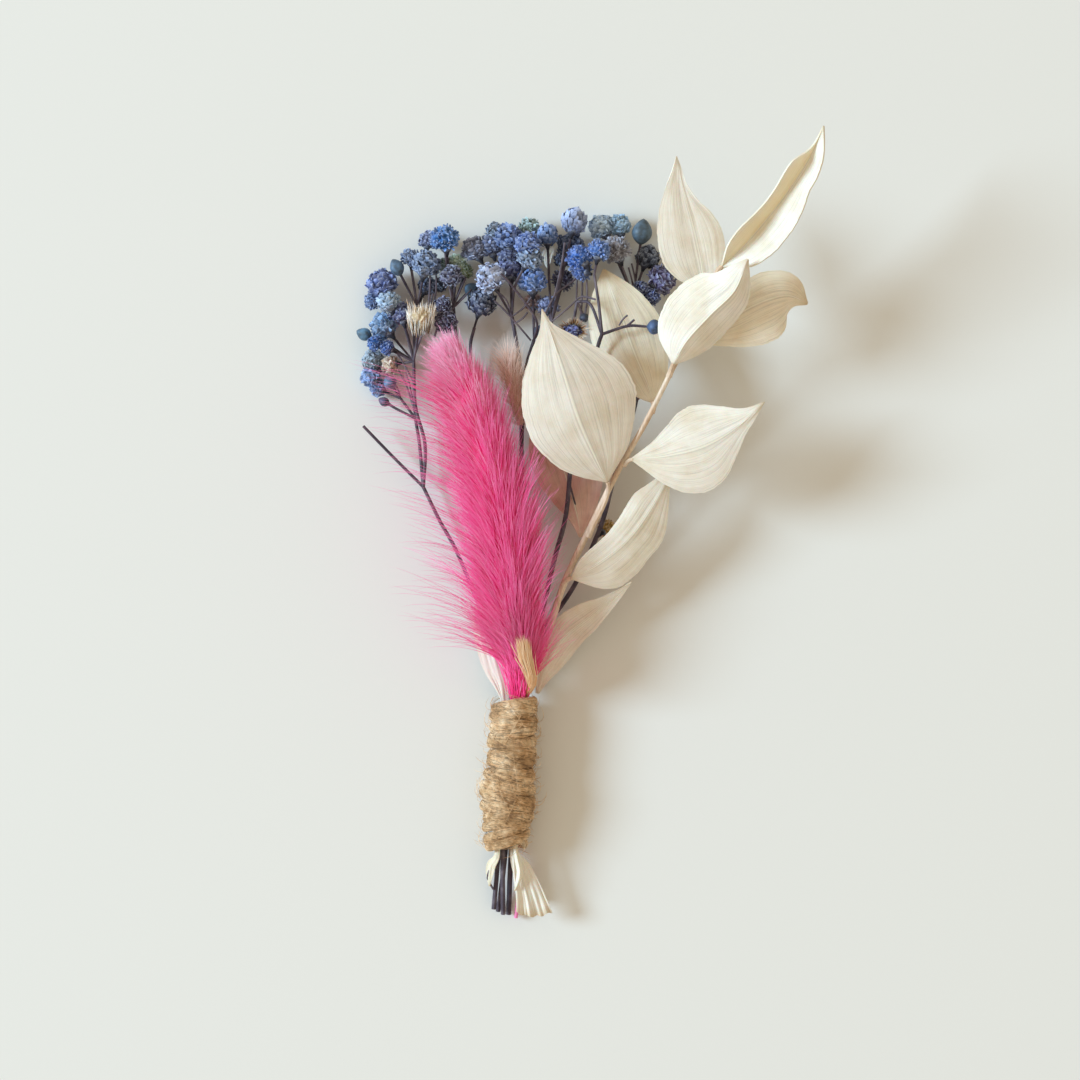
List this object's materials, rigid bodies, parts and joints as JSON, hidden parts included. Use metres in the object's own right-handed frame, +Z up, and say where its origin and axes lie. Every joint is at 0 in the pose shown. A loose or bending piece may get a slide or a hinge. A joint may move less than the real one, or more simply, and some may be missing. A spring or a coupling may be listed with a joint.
{
  "type": "dried flower bouquet",
  "caption": "Small dried posy lying on its back: pink bunny-tail grass, bleached ruscus leaves and dyed gypsophila, its stems bound with jute twine.",
  "frame": {"origin": "middle of the bouquet seen from above, on the surface it lies on", "axes": "+Y along the stems from the cut ends to the blooms, +Z up from the surface, +X to the right of someone looking down with the blooms at the top"},
  "size_m": [0.0876, 0.1486, 0.0279],
  "materials": {
    "jute": "coarse spun jute, fuzzy",
    "bleached_leaf": "dry bleached leaf, matt with fine parallel veins",
    "bleached_stem": "dry bleached stem, satin",
    "pink_plume": "silky dyed hair",
    "tan_grass": "undyed fuzzy grass",
    "dyed_stem": "dry dyed stem, matt",
    "slate_bloom": "dry ruffled petals",
    "cobalt_bloom": "dry ruffled petals",
    "violet_bloom": "dry ruffled petals",
    "dusk_bloom": "dry ruffled petals",
    "pale_bloom": "dry ruffled petals",
    "undyed_bloom": "dry ruffled petals"
  },
  "bodies": {
    "root": {"twine_wrap": "jute", "twine_tail": "jute", "ruscus_stem": "bleached_stem", "leaf_front": "bleached_leaf", "leaf_behind": "bleached_leaf", "leaf_upper_front": "bleached_leaf", "leaf_upper_left": "bleached_leaf", "leaf_tip": "bleached_leaf", "leaf_upper_right": "bleached_leaf", "leaf_right": "bleached_leaf", "leaf_lower_right": "bleached_leaf", "leaf_low_right": "bleached_leaf", "leaf_low_left": "bleached_leaf", "leaf_shaded": "bleached_leaf", "leaf_end_scrap": "bleached_leaf", "leaf_end_fan": "bleached_leaf", "petal_sliver": "bleached_leaf", "bunny_tail_plume": "pink_plume", "grass_tuft_tan": "tan_grass", "gypsophila_left": "dyed_stem", "gypsophila_upper": "dyed_stem", "gypsophila_middle": "dyed_stem", "gypsophila_right": "dyed_stem", "gypsophila_far_right": "dyed_stem", "blooms_left_violet": "violet_bloom", "blooms_left_slate": "slate_bloom", "bloom_left_slate_low": "slate_bloom", "blooms_left_cobalt": "cobalt_bloom", "blooms_low_left_violet": "violet_bloom", "bloom_left_undyed": "undyed_bloom", "blooms_upper_left_slate": "slate_bloom", "bloom_upper_left_violet": "violet_bloom", "blooms_upper_left_dusk": "dusk_bloom", "bloom_left_undyed_high": "undyed_bloom", "bloom_upper_cobalt": "cobalt_bloom", "blooms_upper_pale": "pale_bloom", "bloom_upper_dusk": "dusk_bloom", "blooms_upper_violet": "violet_bloom", "bloom_dusk": "dusk_bloom", "blooms_crown_violet": "violet_bloom", "bloom_crown_pale": "pale_bloom", "blooms_crown_slate": "slate_bloom", "bloom_lavender": "violet_bloom", "bloom_crown_cobalt": "cobalt_bloom", "bloom_middle_undyed": "undyed_bloom", "bloom_streaked": "slate_bloom", "bloom_dried_violet": "violet_bloom", "bloom_ball": "violet_bloom", "blooms_middle_dusk": "dusk_bloom", "bloom_tangle": "dusk_bloom", "blooms_front_cobalt": "cobalt_bloom", "bloom_ringed": "violet_bloom", "blooms_right_pale": "pale_bloom", "bloom_right_grey": "dusk_bloom", "bloom_right_dusk": "dusk_bloom", "bloom_right_violet": "violet_bloom", "blooms_right_cobalt": "cobalt_bloom", "tuft_golden": "undyed_bloom"}
  },
  "joints": []
}
